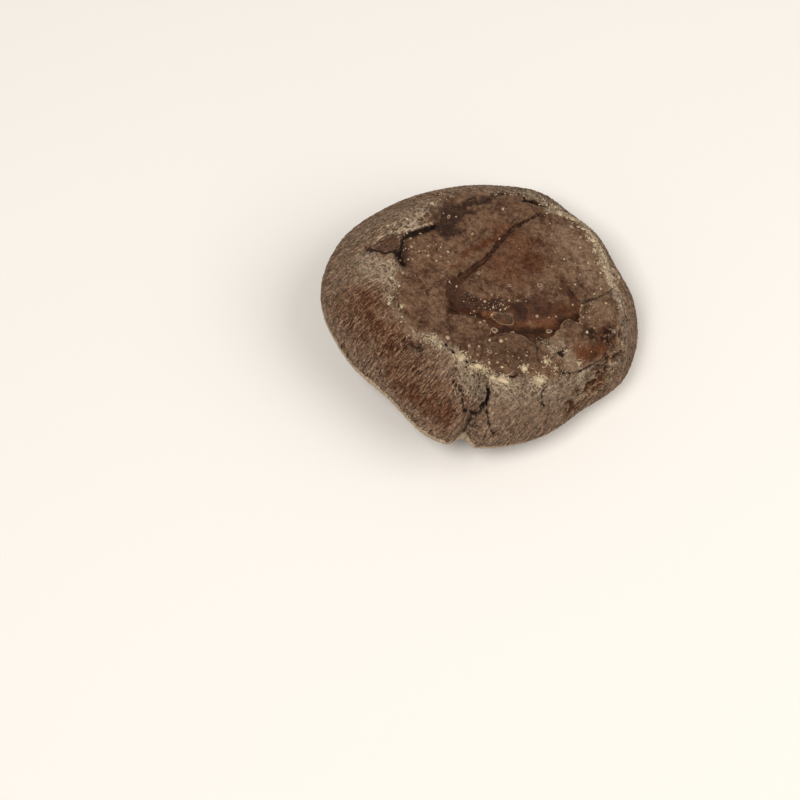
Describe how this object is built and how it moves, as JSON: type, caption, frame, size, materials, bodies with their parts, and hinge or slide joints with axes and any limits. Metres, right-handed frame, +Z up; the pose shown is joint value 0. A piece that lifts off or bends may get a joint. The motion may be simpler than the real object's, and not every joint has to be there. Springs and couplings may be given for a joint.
{
  "type": "shiitake mushroom",
  "caption": "Whole shiitake mushroom resting cap up, with a broad uneven cap, a rolled rim, dried cracked skin, radiating gills and a short bent stem.",
  "frame": {"origin": "middle of the stem's cut end, on the surface that the mushroom stands on", "axes": "+Z up from that surface; +X along the longest way across the cap, towards the side whose rim touches the surface; +Y away from the picture's viewer"},
  "size_m": [0.0781, 0.0701, 0.033],
  "materials": {
    "cap_skin": "matte brown skin, darker and moist in its cracks and bruises",
    "gill_flesh": "matte cream to tan flesh",
    "stem_flesh": "matte fibrous tan flesh"
  },
  "bodies": {
    "root": {"cap": "cap_skin", "gills": "gill_flesh", "stem": "stem_flesh"}
  },
  "joints": []
}
